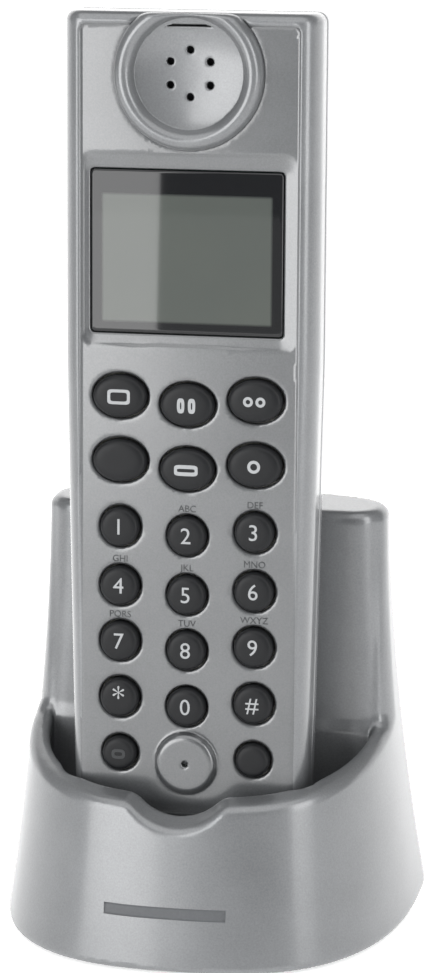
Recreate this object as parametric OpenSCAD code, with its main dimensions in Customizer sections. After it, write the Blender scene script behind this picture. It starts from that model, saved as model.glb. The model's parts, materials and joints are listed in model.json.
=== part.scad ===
// Cordless telephone handset standing in its charging base.
// Origin: middle of the whole object on the table, +Z up, keypad facing -Y.
// The handset has its own frame: X across, Y from its face to its back, Z up its length.

/* [Handset] */
// Length from the bottom end to the top end
hs_len = 163.9; // [160:0.1:168]
// Width over the side rails at the display
hs_width = 51.4; // [50:0.1:53]
// Width at the bottom end, where the sides taper
hs_foot_width = 47.7; // [47:0.1:49]
// Thickness from the face to the back
hs_thick = 25; // [24.6:0.1:26]
// Depth of the seam between front case and rear case, behind the face
hs_seam = 9; // [8.5:0.25:10]
// Wall of both handset cases
hs_wall = 2; // [1.6:0.1:2.2]
// Lean of the handset, back from upright
hs_lean = 4.94; // [3:0.1:7]

/* [Keypad] */
// Distance between key columns
key_pitch = 13.7; // [13.2:0.1:14.2]
// Height of the top key row above the handset's bottom end
key_top_row = 88; // [86:0.5:89]
// Extra drop of the middle column
key_drop = 1.29; // [0:0.05:1.5]
// Radius of a digit key
digit_r = 4; // [3.6:0.1:4.2]
// Travel of a key when it is pressed
key_travel = 0.8; // [0.5:0.1:0.9]

/* [Display and earpiece] */
// Width of the display window
window_w = 38.7; // [36:0.1:40]
// Height of the display window
window_h = 32.4; // [30:0.1:33]
// Outer radius of the earpiece ring
ear_r = 15; // [14:0.25:15.5]
// Radius of the earpiece dish
dish_r = 11; // [10:0.25:11.5]
// Radius of the microphone boss
mic_r = 6.2; // [5.6:0.1:6.4]

/* [Base] */
// Half width of the base at the table
foot_half_w = 42.96; // [42:0.01:44]
// Half width of the backrest at its top
top_half_w = 35.59; // [35:0.01:37]
// Depth from the widest line to the front, at the table
foot_front = 54.62; // [53:0.01:56]
// Depth from the widest line to the rear, at the table
foot_rear = 29.06; // [28:0.01:32]
// Depth from the widest line to the rear, at the top
top_rear = 8.83; // [8:0.01:12]
// Height of the backrest
back_h = 84.3; // [82:0.1:87]
// Height of the rim at the front
rim_h = 33.4; // [32:0.1:35]
// Rise of the rim towards the back, in degrees
rim_rise = 9.7; // [6:0.1:12]
// Wall of the base housing
base_wall = 2.4; // [2:0.1:2.6]

/* [Hidden] */
$fn = 64;
silver = "#a9abad";
silver_back = "#9b9da0";
charcoal = "#3b3c3e";
gap = 0.3;
half = hs_width / 2;
foot_half = hs_foot_width / 2;
taper_z = 95;
square_front = 2.69;
square_rear = 2.29;
flare = 1.78;
front_slope = 0.221;
foot_h = 0.8;
plate_t = 2;
cut = 60;
widest_y = (front_d(foot_h) - rear_d(foot_h)) / 2;
seat_y = widest_y - 37.2;
seat_z = 25.09;

// Handset face, from the outside in
panel_step = 0.4;
panel_half = 22;
panel_end = 2.4;
display_step = 1;
recess_half = 21.2;
window_t = 1.6;
window_x = -0.5;
window_z = key_top_row + 12.63;
ear_z = hs_len - 11.9;
ear_seat_r = 12.4;
mic_z = key_top_row - 74.3;
ring_proud = 2.4;
flange_y = 2.55;
flange_t = 0.75;
mat_y = flange_y + flange_t + key_travel + 0.1;
mat_t = 1.1;
board_y = mat_y + mat_t + 0.1;
board_t = 1.6;
key_proud = 1.3;
row_z = [for (d = [0, 12.97, 26.43, 38.45, 49.82, 61.44, 72.99]) key_top_row - d];
small_r = 3.5;
oval = [5.5, 4.3];

// Name, column (-1, 0 or 1), row, radii
KEYS = [
    ["key_menu", -1, 0, oval], ["key_phonebook", 0, 0, oval], ["key_redial", 1, 0, oval],
    ["key_talk", -1, 1, oval], ["key_recall", 0, 1, oval], ["key_end", 1, 1, oval],
    ["key_1", -1, 2, [digit_r, digit_r]], ["key_2", 0, 2, [digit_r, digit_r]],
    ["key_3", 1, 2, [digit_r, digit_r]], ["key_4", -1, 3, [digit_r, digit_r]],
    ["key_5", 0, 3, [digit_r, digit_r]], ["key_6", 1, 3, [digit_r, digit_r]],
    ["key_7", -1, 4, [digit_r, digit_r]], ["key_8", 0, 4, [digit_r, digit_r]],
    ["key_9", 1, 4, [digit_r, digit_r]], ["key_star", -1, 5, [digit_r, digit_r]],
    ["key_0", 0, 5, [digit_r, digit_r]], ["key_hash", 1, 5, [digit_r, digit_r]],
    ["key_mute", -1, 6, [small_r, small_r]], ["key_volume", 1, 6, [small_r, small_r]]
];

// Battery bay in the handset's back
bay_half = 15;
bay_low = 84;
bay_high = 142;
bay_y = 10.4;
cell_x = 6.4;
cell_y = 17.1;
cell_r = 5.25;
cell_len = 44.5;
cover_half = 18;
cover_low = 80;
cover_high = 150;
cover_y = hs_thick - hs_wall - 0.2;
case_screw_x = 19.2;
case_screw_z = 8;

// Things inside the base
contact_x = 9;
contact_y = 15;
floor_z = -0.3;
floor_t = 2.2;
pocket_front = -5.2;
pocket_half = 34.2;
pocket_back = 36;
hollow_y = 28.4;
jack_front_y = 22;
jack_y = 33.2;
line_x = -10;
power_x = 11;
jack_z = 6.6;
page_z = 28;
page_r = 4.2;
page_y = 25.2;
notch_z = 41.6;
post_r = 3;
screw_r = 1.2;
posts = [[-16, -20, 23], [16, -20, 23], [-23, 20, 14], [23, 20, 14]];
feet = [[-25, -25], [25, -25], [-27, 9], [27, 9]];

// ---------- outlines ----------

function arc(c, rx, ry, a0, a1, steps = 8) =
    [for (k = [0:steps]) let (a = a0 + (a1 - a0) * k / steps) [c[0] + rx * cos(a), c[1] + ry * sin(a)]];

function ellipse(rx, ry, steps = 40) =
    [for (k = [0:steps - 1]) [rx * cos(k * 360 / steps), ry * sin(k * 360 / steps)]];

// Superellipse with its own depth in front of and behind the widest line
function squircle(w, front, rear, steps = 48) =
    [for (k = [0:steps - 1]) let (a = k * 360 / steps, c = cos(a), s = sin(a))
        s < 0
            ? [w * sign(c) * pow(abs(c), 2 / square_front), -front * pow(-s, 2 / square_front)]
            : [w * sign(c) * pow(abs(c), 2 / square_rear), rear * pow(s, 2 / square_rear)]];

// Handset cross-section: soft rails at the face, rounder corners at the back
function hs_section(i) = concat(
    arc([-half + 4.3, 5.5], 4.3 - i, 5.5 - i, 180, 270),
    arc([half - 4.3, 5.5], 4.3 - i, 5.5 - i, 270, 360),
    arc([half - 12, hs_thick - 14.5], 12 - i, 14.5 - i, 0, 90),
    arc([-half + 12, hs_thick - 14.5], 12 - i, 14.5 - i, 90, 180)
);

// Handset seen from the front: tapered below the keypad's top
function hs_outline(i) = concat(
    arc([-foot_half + 6, 6], 6 - i, 6 - i, 180, 270),
    arc([foot_half - 6, 6], 6 - i, 6 - i, 270, 360),
    [[half - i, taper_z]],
    arc([half - 2.3, hs_len - 2.3], 2.3 - i, 2.3 - i, 0, 90, 4),
    arc([-half + 2.3, hs_len - 2.3], 2.3 - i, 2.3 - i, 90, 180, 4),
    [[-half + i, taper_z]]
);

// Handset seen from the side
function hs_profile(i) = concat(
    arc([3, 3], 3 - i, 3 - i, 180, 270, 4),
    arc([hs_thick - 4, 4], 4 - i, 4 - i, 270, 360, 4),
    arc([hs_thick - 5, hs_len - 5], 5 - i, 5 - i, 0, 90, 5),
    arc([2.2, hs_len - 2.2], 2.2 - i, 2.2 - i, 90, 180, 4)
);

// ---------- base surfaces ----------

function shrink(z) = pow(max(0, 1 - z / back_h), flare);
function half_w(z) = top_half_w + (foot_half_w - top_half_w) * shrink(z);
function rear_d(z) = top_rear + (foot_rear - top_rear) * shrink(z);
function front_d(z) = foot_front - front_slope * z;

// Base front and handset back planes as a function of height
function lean_y(z, depth) = seat_y + (z - seat_z) * tan(hs_lean) + depth / cos(hs_lean);

function body_ring(z, i) =
    [for (p = squircle(half_w(z) - i, front_d(z) - i, rear_d(z) - i)) [p[0], widest_y + p[1], z]];

// Backrest front with its rounded corners, closed far behind the base
function back_ring(z, i) = let (yf = lean_y(z, 24) + i, cx = half_w(z) - 7) [for (p = concat(
    arc([-cx, widest_y], 7.6, widest_y - yf, 180, 270),
    arc([cx, widest_y], 7.6, widest_y - yf, 270, 360),
    [[cut, widest_y + 1], [cut, cut], [-cut, cut], [-cut, widest_y + 1]]
)) [p[0], p[1], z]];

module loft(rings) {
    n = len(rings[0]);
    m = len(rings);
    polyhedron(
        points = [for (r = rings) each r],
        faces = concat(
            [[for (k = [0:n - 1]) k]],
            [[for (k = [n - 1:-1:0]) (m - 1) * n + k]],
            [for (j = [0:m - 2], k = [0:n - 1]) let (k2 = (k + 1) % n)
                [j * n + k, (j + 1) * n + k, (j + 1) * n + k2, j * n + k2]]
        ),
        convexity = 6
    );
}

module in_handset() {
    translate([0, seat_y, seat_z]) rotate([-hs_lean, 0, 0]) children();
}

// Places a shape on the handset's face, its Z pointing out of the face
module on_face(x, z) {
    translate([x, 0, z]) rotate([90, 0, 0]) children();
}

module hs_solid(i) {
    intersection() {
        linear_extrude(hs_len) polygon(hs_section(i));
        translate([0, hs_thick + 1, 0]) rotate([90, 0, 0])
            linear_extrude(hs_thick + 2) polygon(hs_outline(i));
        rotate([90, 0, 90]) translate([0, 0, -cut / 2])
            linear_extrude(cut) polygon(hs_profile(i));
    }
}

// The slice of the handset between two depths behind its face
module hs_slice(y0, y1) {
    translate([-cut / 2, y0, -1]) cube([cut, y1 - y0, hs_len + 2]);
}

module block(x0, x1, y0, y1, z0, z1) {
    translate([x0, y0, z0]) cube([x1 - x0, y1 - y0, z1 - z0]);
}

function key_x(k) = k[1] * key_pitch;
function key_z(k) = row_z[k[2]] - (k[1] == 0 ? key_drop : 0);

module key_prism(radii, grow, low, high) {
    translate([0, 0, low])
        if (radii[0] == radii[1]) cylinder(h = high - low, r = radii[0] + grow);
        else linear_extrude(high - low) polygon(ellipse(radii[0] + grow, radii[1] + grow));
}

// ---------- handset ----------

module front_case() {
    color(silver) in_handset() difference() {
        union() {
            difference() {
                intersection() {
                    hs_solid(0);
                    hs_slice(-1, hs_seam);
                }
                difference() {
                    hs_solid(hs_wall);
                    hs_slice(-1, panel_step + hs_wall);
                }
            }
            on_face(0, mic_z) translate([0, 0, -panel_step - 1])
                cylinder(h = panel_step + 1 + 1.2, r = mic_r);
            on_face(0, mic_z) translate([0, 0, 1.2])
                cylinder(h = 0.6, r1 = mic_r, r2 = mic_r - 0.8);
            for (x = [-case_screw_x, case_screw_x]) on_face(x, case_screw_z)
                translate([0, 0, -hs_seam]) cylinder(h = hs_seam - 1, r = 2.6);
        }
        difference() {
            block(-panel_half, panel_half, -1, panel_step, 3, hs_len - panel_end);
            on_face(0, mic_z) translate([0, 0, -2]) cylinder(h = 4, r = mic_r);
        }
        block(-recess_half, recess_half, -1, display_step, window_z - 2.4, window_z + window_h + 3.2);
        block(window_x - window_w / 2 - 0.15, window_x + window_w / 2 + 0.15, -1, 6,
            window_z - 0.15, window_z + window_h + 0.15);
        on_face(0, ear_z) translate([0, 0, -panel_step]) cylinder(h = 5, r = ear_r + 0.05);
        intersection() {
            on_face(0, ear_z) translate([0, 0, -4]) cylinder(h = 5, r = ear_seat_r);
            block(-cut / 2, cut / 2, -5, 8, 0, hs_len - panel_end);
        }
        on_face(0, mic_z) translate([0, 0, -4]) cylinder(h = 7, r = 0.6, $fn = 24);
        for (k = KEYS) on_face(key_x(k), key_z(k)) key_prism(k[3], gap, -4, 2);
        for (x = [-case_screw_x, case_screw_x]) on_face(x, case_screw_z)
            translate([0, 0, -hs_seam - 1]) cylinder(h = 6, r = screw_r + 0.05, $fn = 24);
    }
}

module rear_case() {
    color(silver_back) in_handset() difference() {
        union() {
            difference() {
                intersection() {
                    hs_solid(0);
                    hs_slice(hs_seam + 0.05, hs_thick + 1);
                }
                hs_solid(hs_wall);
            }
            difference() {
                union() {
                    block(-bay_half, bay_half, bay_y, hs_thick - 1.8, bay_low, bay_high);
                    block(-cover_half - 1.6, cover_half + 1.6, cover_y - 1.6, cover_y - 0.1,
                        cover_low - 1.6, cover_high + 1.6);
                }
                block(-bay_half + 1.2, bay_half - 1.2, bay_y + 1.2, hs_thick, bay_low + 1.2,
                    bay_high - 1.2);
            }
            intersection() {
                hs_solid(0.4);
                for (x = [-case_screw_x, case_screw_x]) on_face(x, case_screw_z)
                    translate([0, 0, -hs_thick]) cylinder(h = hs_thick - hs_seam - 0.1, r = 2.9);
            }
        }
        block(-cover_half, cover_half, cover_y - 0.1, hs_thick + 1, cover_low, cover_high);
        block(-bay_half + 1.2, bay_half - 1.2, hs_thick - 4, hs_thick, bay_low + 1.2,
            bay_high - 1.2);
        for (x = [-contact_x, contact_x])
            block(x - 2.6, x + 2.6, contact_y - 3.1, contact_y + 3.1, -1, 3);
        for (x = [-8:4:8]) block(x - 0.8, x + 0.8, hs_thick - 4, hs_thick + 1, 38, 54);
        for (x = [-case_screw_x, case_screw_x]) on_face(x, case_screw_z) translate([0, 0, -hs_thick - 1]) {
            cylinder(h = hs_thick, r = screw_r + 0.1, $fn = 24);
            cylinder(h = 8.1, r = 2.2, $fn = 32);
        }
    }
}

module earpiece_ring() {
    crest = (ear_r + dish_r) / 2;
    color(silver) in_handset() intersection() {
        on_face(0, ear_z) difference() {
            rotate_extrude() polygon(concat(
                [[0, -2.6], [ear_seat_r - gap, -2.6], [ear_seat_r - gap, -panel_step + 0.05],
                 [ear_r, -panel_step + 0.05]],
                arc([crest, 0], ear_r - crest, ring_proud, 0, 180, 10),
                [[dish_r - 2, -0.3], [6, -1], [0, -1.3]]
            ));
            for (a = [30:60:330]) rotate(a) translate([4.6, 0, -4]) cylinder(h = 6, r = 0.7, $fn = 24);
        }
        union() {
            block(-cut / 2, cut / 2, -5, 8, 0, hs_len - panel_end - gap);
            block(-cut / 2, cut / 2, -5, panel_step - 0.04, 0, hs_len - 0.1);
        }
    }
}

module display_window() {
    color("#17181a") in_handset()
        block(window_x - window_w / 2, window_x + window_w / 2, display_step - 0.1,
            display_step - 0.1 + window_t, window_z, window_z + window_h);
}

module lcd_module() {
    color("#7d8478") in_handset()
        block(window_x - 17.6, window_x + 17.6, 2.8, board_y - 0.1, window_z + 2, window_z + window_h - 3);
}

module keypad_mat() {
    color("#d8d5cc") in_handset() difference() {
        block(-20, 20, mat_y, mat_y + mat_t, 11, key_top_row + 6);
        block(-3.5, 3.5, mat_y - 1, mat_y + 2, 10, mic_z + 3.5);
    }
}

module main_board() {
    color("#2c5a3a") in_handset() {
        block(-20, 20, board_y, board_y + board_t, 11, 140);
        block(-14, -2, board_y + board_t, board_y + board_t + 1.4, 56, 68);
        block(3, 13, board_y + board_t, board_y + board_t + 1.2, 58, 66);
    }
}

module receiver() {
    color("#55575a") in_handset() on_face(0, ear_z - 2) translate([0, 0, -7.4]) {
        cylinder(h = 3.2, r = 8.5);
        translate([0, 0, -1.6]) cylinder(h = 1.6, r = 4.5);
    }
}

module microphone() {
    color("#8f9295") in_handset() on_face(0, mic_z) translate([0, 0, -4.9]) cylinder(h = 2.2, r = 3);
}

module ringer_speaker() {
    color("#4a4c4e") in_handset() on_face(0, 46) translate([0, 0, -hs_thick + hs_wall + 0.1]) {
        cylinder(h = 3.5, r = 11);
        translate([0, 0, 3.5]) cylinder(h = 2, r = 6);
    }
}

module battery_cells() {
    color("#2f6f8f") in_handset() for (x = [-cell_x, cell_x]) translate([x, cell_y, bay_low + 5]) {
        cylinder(h = cell_len - 1, r = cell_r);
        translate([0, 0, cell_len - 1]) cylinder(h = 1, r = 1.9);
    }
}

module battery_contacts() {
    color("#c9ccd0") in_handset() for (x = [-cell_x, cell_x]) {
        block(x - 4, x + 4, cell_y - 4, cell_y + 4, bay_low + 1.25, bay_low + 1.75);
        translate([x, cell_y, bay_low + 1.75]) cylinder(h = 3.2, r1 = 3.6, r2 = 2.2);
        block(x - 4, x + 4, cell_y - 4, cell_y + 4, bay_high - 1.75, bay_high - 1.25);
        translate([x, cell_y, bay_low + 5 + cell_len + 0.05])
            cylinder(h = bay_high - 1.75 - bay_low - 5 - cell_len - 0.05, r = 1.5);
    }
}

module battery_cover() {
    color(silver_back) in_handset() difference() {
        intersection() {
            hs_solid(0);
            block(-cover_half + gap, cover_half - gap, cover_y, hs_thick + 1, cover_low + gap,
                cover_high - gap);
        }
        for (z = [cover_high - 14:2.2:cover_high - 5])
            block(-7, 7, hs_thick - 0.5, hs_thick + 1, z, z + 1);
    }
}

module charge_pads() {
    color("#d4b45c") in_handset() for (x = [-contact_x, contact_x])
        block(x - 2.4, x + 2.4, contact_y - 2.9, contact_y + 2.9, 0.1, 1.9);
}

module handset_screws() {
    color("#b4b7ba") in_handset() for (x = [-case_screw_x, case_screw_x]) on_face(x, case_screw_z) {
        translate([0, 0, -19.3]) cylinder(h = 1.3, r = 2.1, $fn = 32);
        translate([0, 0, -18.1]) cylinder(h = 13, r = screw_r, $fn = 24);
    }
}

module key_cap(k) {
    color(charcoal) in_handset() on_face(key_x(k), key_z(k)) {
        key_prism(k[3], 0, -flange_y, key_proud - 0.4);
        key_prism(k[3], -0.5, key_proud - 0.4, key_proud);
        key_prism(k[3], 0.8, -flange_y - flange_t, -flange_y);
    }
}

// ---------- base ----------

module body_loft(i) {
    low = i > 0 ? -1 : foot_h;
    levels = [low, 6, 13, 21, 30, 40, 52, 66, back_h - 2.6 - i];
    loft(concat([for (z = levels) body_ring(z, i)],
        [body_ring(back_h - 1 - i, i + 0.9), body_ring(back_h - i, i + 2.6)]));
}

module back_front_loft() {
    loft(concat([for (z = [-2, 20, 40, 60, back_h - 2.6]) back_ring(z, 0)],
        [back_ring(back_h - 0.9, 0.9), back_ring(back_h + 1, 3.6)]));
}

// Space above the rim and in front of the backrest
module front_cut() {
    difference() {
        translate([-cut, widest_y - front_d(rim_h), rim_h]) rotate([rim_rise, 0, 0])
            translate([0, -30, 0]) cube([2 * cut, 30 + front_d(rim_h) / cos(rim_rise) - 2, 2 * cut]);
        back_front_loft();
    }
}

// The opening around the handset's lower end; grow adds the wall around it
module pocket(grow) {
    difference() {
        in_handset() translate([0, pocket_back, floor_z - grow]) linear_extrude(cut) difference() {
            polygon(squircle(pocket_half + grow, pocket_back - pocket_front + grow, 30));
            translate([-cut, 0]) square([2 * cut, cut]);
        }
        if (grow == 0) back_front_loft();
    }
}

module handset_channel() {
    in_handset() translate([0, 0, floor_z]) linear_extrude(120) polygon(hs_section(-0.8));
}

module base_hollow() {
    difference() {
        body_loft(base_wall);
        pocket(floor_t);
        in_handset() block(-cut, cut, -cut, hollow_y, -1, 120);
    }
}

module base_housing() {
    color(silver) difference() {
        union() {
            difference() {
                body_loft(0);
                front_cut();
                pocket(0);
                handset_channel();
                base_hollow();
            }
            for (p = posts) translate([p[0], p[1], foot_h + plate_t + 0.1])
                cylinder(h = p[2] - foot_h - plate_t - 0.1, r = post_r);
            block(-38.5, 38.5, 19, 21, 9, 14);
        }
        translate([0, -40, notch_z]) rotate([-90, 0, 0]) cylinder(h = 14, r1 = 13.85, r2 = 10.8);
        for (x = [-contact_x, contact_x]) in_handset()
            block(x - 2.5, x + 2.5, contact_y - 1, contact_y + 1, -4, 1);
        for (p = posts) translate([p[0], p[1], 0]) cylinder(h = 12, r = screw_r + 0.05, $fn = 24);
        block(line_x - 6.6, line_x + 6.6, jack_front_y + 2, cut, jack_z - 0.2, jack_z + 12.2);
        block(power_x - 4.7, power_x + 4.7, jack_front_y + 2, cut, jack_z - 0.2, jack_z + 11.2);
        translate([0, page_y + 1, page_z]) rotate([-90, 0, 0]) cylinder(h = 20, r = page_r + gap);
    }
}

module base_plate() {
    color("#6d6f72") difference() {
        translate([0, widest_y, foot_h])
            linear_extrude(plate_t)
                polygon(squircle(half_w(3) - base_wall - 0.3, front_d(3) - base_wall - 0.3,
                    rear_d(3) - base_wall - 0.3));
        for (p = feet) translate([p[0], p[1], 0]) cylinder(h = foot_h + 0.6, r = 5.1);
        for (p = posts) translate([p[0], p[1], 0]) {
            cylinder(h = 4, r = screw_r + 0.2, $fn = 24);
            cylinder(h = foot_h + 1.3, r = 2.6, $fn = 32);
        }
        for (y = [-6:3:6]) block(-12, 12, y, y + 1.2, 0, 4);
    }
}

module base_board() {
    color("#2c5a3a") {
        block(-19.5, 19.5, -14, 32.5, 5, jack_z);
        translate([10, -2, jack_z]) cylinder(h = 9, r = 4);
        block(2, 16, 3.5, 17.5, jack_z, jack_z + 9);
        for (x = [-17, -13]) translate([x, 16.8, jack_z]) cylinder(h = 7, r = 1.6, $fn = 32);
    }
}

module radio_shield() {
    color("#c4c7ca") difference() {
        block(-18, -2, -11, 15, jack_z + 0.02, jack_z + 3.6);
        block(-17.6, -2.4, -10.6, 14.6, jack_z - 1, jack_z + 3.2);
    }
}

module charge_blades() {
    color("#d4b45c") in_handset() for (x = [-contact_x, contact_x]) {
        block(x - 2, x + 2, contact_y - 0.4, contact_y + 0.4, -11, -1.05);
        translate([x - 2, contact_y, -1.05]) rotate([0, 90, 0]) cylinder(h = 4, r = 0.9, $fn = 32);
    }
}

module line_jack() {
    color("#202224") difference() {
        block(line_x - 6.3, line_x + 6.3, jack_front_y, jack_y, jack_z + 0.02, jack_z + 12);
        block(line_x - 4.9, line_x + 4.9, jack_front_y + 2, jack_y + 1, jack_z + 2.2, jack_z + 9);
        block(line_x - 2, line_x + 2, jack_front_y + 2, jack_y + 1, jack_z + 8.5, jack_z + 11);
    }
}

module power_jack() {
    color("#202224") {
        difference() {
            block(power_x - 4.4, power_x + 4.4, jack_front_y, jack_y, jack_z + 0.02, jack_z + 11);
            translate([power_x, jack_front_y + 1.5, jack_z + 5.5]) rotate([-90, 0, 0])
                cylinder(h = 12, r = 3.1);
        }
        translate([power_x, jack_front_y + 1, jack_z + 5.5]) rotate([-90, 0, 0])
            cylinder(h = jack_y - jack_front_y - 2, r = 1.05);
    }
}

module page_button() {
    color(charcoal) translate([0, 0, page_z]) rotate([-90, 0, 0]) {
        translate([0, 0, page_y]) cylinder(h = 8, r = page_r);
        translate([0, 0, page_y]) cylinder(h = 1.2, r = page_r + 1);
    }
}

module rubber_feet() {
    color("#1d1e20") for (p = feet) translate([p[0], p[1], 0]) cylinder(h = foot_h + 0.55, r = 5);
}

module base_screws() {
    color("#b4b7ba") for (p = posts) translate([p[0], p[1], foot_h + 0.05]) {
        cylinder(h = 1.2, r = 2.4, $fn = 32);
        cylinder(h = 9, r = screw_r, $fn = 24);
    }
}

front_case();
rear_case();
earpiece_ring();
display_window();
lcd_module();
keypad_mat();
main_board();
receiver();
microphone();
ringer_speaker();
battery_cells();
battery_contacts();
battery_cover();
charge_pads();
handset_screws();
base_housing();
base_plate();
base_board();
radio_shield();
charge_blades();
line_jack();
power_jack();
page_button();
rubber_feet();
base_screws();
for (k = KEYS) key_cap(k);
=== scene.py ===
import json
import math

import bpy
import numpy as np
from mathutils import Matrix, Vector


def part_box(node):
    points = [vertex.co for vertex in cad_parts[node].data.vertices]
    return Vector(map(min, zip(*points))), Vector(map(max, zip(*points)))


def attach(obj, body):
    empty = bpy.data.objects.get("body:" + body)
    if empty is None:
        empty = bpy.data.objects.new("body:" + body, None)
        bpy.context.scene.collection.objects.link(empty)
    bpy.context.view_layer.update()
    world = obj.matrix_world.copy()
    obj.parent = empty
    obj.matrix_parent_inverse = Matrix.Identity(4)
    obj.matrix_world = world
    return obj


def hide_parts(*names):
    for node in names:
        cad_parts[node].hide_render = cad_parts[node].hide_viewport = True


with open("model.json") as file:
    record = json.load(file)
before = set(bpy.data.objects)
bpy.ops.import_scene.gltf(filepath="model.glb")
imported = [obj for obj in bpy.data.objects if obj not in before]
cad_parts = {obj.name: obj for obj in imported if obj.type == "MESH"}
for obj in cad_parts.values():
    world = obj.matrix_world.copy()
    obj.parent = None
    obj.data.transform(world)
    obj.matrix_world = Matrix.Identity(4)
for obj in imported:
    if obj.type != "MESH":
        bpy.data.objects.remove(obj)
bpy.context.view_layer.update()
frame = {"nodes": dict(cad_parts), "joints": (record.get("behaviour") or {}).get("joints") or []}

# ---------------------------------------------------------------------------------------------
# Camera: a long lens a little to the right of the phone and above it, looking slightly down.
# ---------------------------------------------------------------------------------------------
cam_azimuth = math.radians(12.05)
cam_elevation = math.radians(15.52)
cam_roll = math.radians(-0.715)
cam_distance = 0.7702
cam_target = Vector((-0.00078, 0.01286, 0.08657))

cam_back = Vector((
    math.sin(cam_azimuth) * math.cos(cam_elevation),
    -math.cos(cam_azimuth) * math.cos(cam_elevation),
    math.sin(cam_elevation),
))
camera = bpy.data.objects.new("camera", bpy.data.cameras.new("camera"))
camera.data.lens = 137.55
camera.data.clip_start = 0.05
camera.rotation_mode = "QUATERNION"
camera.rotation_quaternion = (
    (-cam_back).to_track_quat("-Z", "Y") @ Matrix.Rotation(cam_roll, 3, "Z").to_quaternion()
)
camera.location = cam_target + cam_back * cam_distance
bpy.context.scene.collection.objects.link(camera)
bpy.context.scene.camera = camera
bpy.context.scene.view_settings.view_transform = "Standard"


# ---------------------------------------------------------------------------------------------
# Base housing: one ABS moulding, sprayed satin silver. A flared bowl with a soft rim, a pocket
# for the handset, a half-round dip for the microphone boss and a tall backrest behind it.
# Its skin is where a function of place is zero, so every edge gets the radius of the mould.
# ---------------------------------------------------------------------------------------------
MM = 0.001
BASE_HALF = (42.96, 35.59)
BASE_REAR = (29.06, 8.83)
BASE_FRONT = 54.62
BASE_FRONT_SLOPE = 0.221
BASE_TOP = 84.3
BASE_FLARE = 1.78
BASE_FOOT = 0.8
FRONT_POWER = 2.69
REAR_POWER = 2.29
WIDEST_Y = 12.862
RIM_HEIGHT = 33.4
RIM_RISE = math.radians(9.7)
RIM_RADIUS = 3.4
BACKREST_FACE = 24
COLUMN_CORNER = 7.0
BACKREST_EDGE = 2.4
FILLET = 2.2
FILLET_TOP = 0.7 * BASE_TOP
POCKET_HALF = 34.2
POCKET_MIDDLE = 36
POCKET_DEPTHS = (41.2, 60)
POCKET_FLOOR = -0.3
HOLLOW_BACK = 34
HANDSET_ROOM = 0.75
DIP_HEIGHT = 41.6
DIP_RADIUS = 13.85
DIP_TAPER = 0.218
DIP_SPAN = (-40, -26)
PLATE_OUTLINE = (40.1, 51.5, 25.4)
PLATE_TOP = 3.0
LINE_SOCKET = (-10, 12.6, (6.6, 12, 6.2))
POWER_SOCKET = (11, 12.1, (4.7, 12, 5.7))
SOCKETS_Y = 38
PAGE_BUTTON = (28, 4.5)
PAGE_HOLE_FLOOR = 26
BLADE_X = 9
BLADE_V = 15
SEAT = np.array((0.0, WIDEST_Y - 37.2, 25.09))
lift_axis = next(j["axis"] for j in frame["joints"] if j["name"] == "handset_lift")
LEAN = math.atan2(lift_axis[1], lift_axis[2])
HANDSET_LENGTH = 163.9
HANDSET_DEPTH = 25.0
HANDSET_HALF = (23.85, 25.7)
TAPER_TOP = 95
FRONT_CORNER = (4.3, 5.5)
BACK_CORNER = (12, 14.5)
CHIN = (4.6, 7.6)
TOP_EDGE = 2.1
BOTTOM_EDGE = 3.2


def rounded_cut(a, b, r):
    """What lies inside both a and b, with the edge between them rounded to radius r."""
    return np.minimum(np.maximum(a, b), -r) + np.hypot(np.maximum(a + r, 0), np.maximum(b + r, 0))


def rounded_join(a, b, r):
    """What lies inside a or b, with the corner between them filled to radius r."""
    return np.maximum(np.minimum(a, b), r) - np.hypot(np.maximum(r - a, 0), np.maximum(r - b, 0))


def carve(solid, tool, r):
    """The solid with the tool's shape taken out, and the edge it leaves rounded to radius r."""
    return rounded_cut(solid, -tool, r)


def brick(a, b, c, half, r=0.3):
    """A block about the origin with rounded edges; a, b and c are distances from its middle."""
    x, y, z = np.abs(a) - half[0], np.abs(b) - half[1], np.abs(c) - half[2]
    return rounded_cut(rounded_cut(x, y, r), z, r)


def oval_cut(a, b, ra, rb):
    """Like rounded_cut, with an elliptical edge of radii ra and rb."""
    u, v = np.maximum(a + ra, 0) / ra, np.maximum(b + rb, 0) / rb
    k = np.hypot(u, v)
    corner = (k - 1) * k / np.maximum(np.hypot(u / ra, v / rb), 1e-6)
    return np.where(k > 0, corner, np.maximum(a, b))


def squircle(x, y, half, front, rear):
    """Distance to a rounded-square outline, squarer and deeper in front than behind."""
    depth, power = np.where(y < 0, front, rear), np.where(y < 0, FRONT_POWER, REAR_POWER)
    k = ((np.abs(x) / half) ** power + (np.abs(y) / depth) ** power) ** (1 / power)
    return (k - 1) * np.hypot(x, y) / np.maximum(k, 0.05)


def in_handset(x, y, z):
    """Row coordinates in mm, turned into the handset's own: across, behind its face, up it."""
    y, z = y - SEAT[1], z - SEAT[2]
    return x, y * math.cos(LEAN) - z * math.sin(LEAN), y * math.sin(LEAN) + z * math.cos(LEAN)


def handset_skin(x, v, w, inset):
    """Outside of the handset: tapered below the keypad, soft rails in front, rounder behind,
    and a chin that curves away under the microphone."""
    side = np.abs(x) - (np.interp(w, (0, TAPER_TOP), HANDSET_HALF) - inset)
    front = oval_cut(side, inset - v, FRONT_CORNER[0] - inset, FRONT_CORNER[1] - inset)
    back = oval_cut(side, v - HANDSET_DEPTH + inset, BACK_CORNER[0] - inset, BACK_CORNER[1] - inset)
    chin = oval_cut(inset - v, inset - w, CHIN[0] - inset, CHIN[1] - inset)
    walls = np.maximum(np.maximum(front, back), chin)
    below_top = rounded_cut(walls, w - HANDSET_LENGTH + inset, TOP_EDGE)
    return rounded_cut(below_top, inset - w, BOTTOM_EDGE)


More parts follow.
